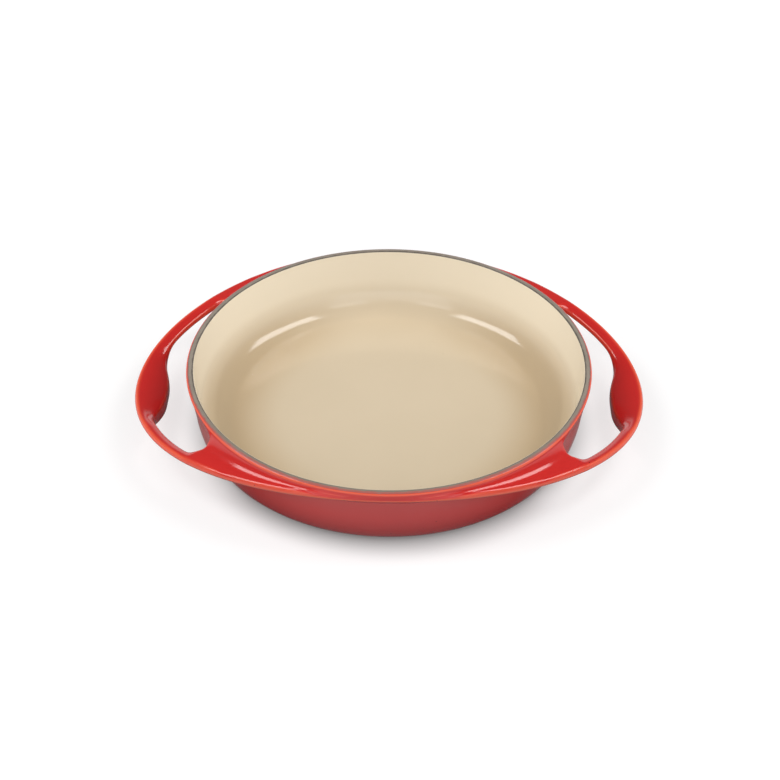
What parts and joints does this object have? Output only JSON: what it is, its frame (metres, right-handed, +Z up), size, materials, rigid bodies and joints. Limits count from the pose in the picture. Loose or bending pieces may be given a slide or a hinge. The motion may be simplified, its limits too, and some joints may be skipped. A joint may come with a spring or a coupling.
{
  "type": "tarte tatin dish",
  "caption": "Shallow round enamelled cast-iron baking dish with a cream lining, a bare rim band and an oval red flange that forms a loop handle at each end.",
  "frame": {"origin": "centre of the face that the dish stands on", "axes": "+Z up out of the bowl, +X along the line through the two handles, +Y across it"},
  "size_m": [0.328, 0.2606, 0.0475],
  "materials": {
    "iron": "bare casting, hidden behind the coats",
    "outer": "glossy red vitreous enamel",
    "foot": "dark red enamel, slightly worn",
    "lining": "glossy cream vitreous enamel",
    "band": "matt warm grey ground coat"
  },
  "bodies": {
    "root": {"iron_casting": "iron", "outer_enamel": "outer", "base_enamel": "foot", "inner_enamel": "lining", "rim_band": "band"}
  },
  "joints": []
}
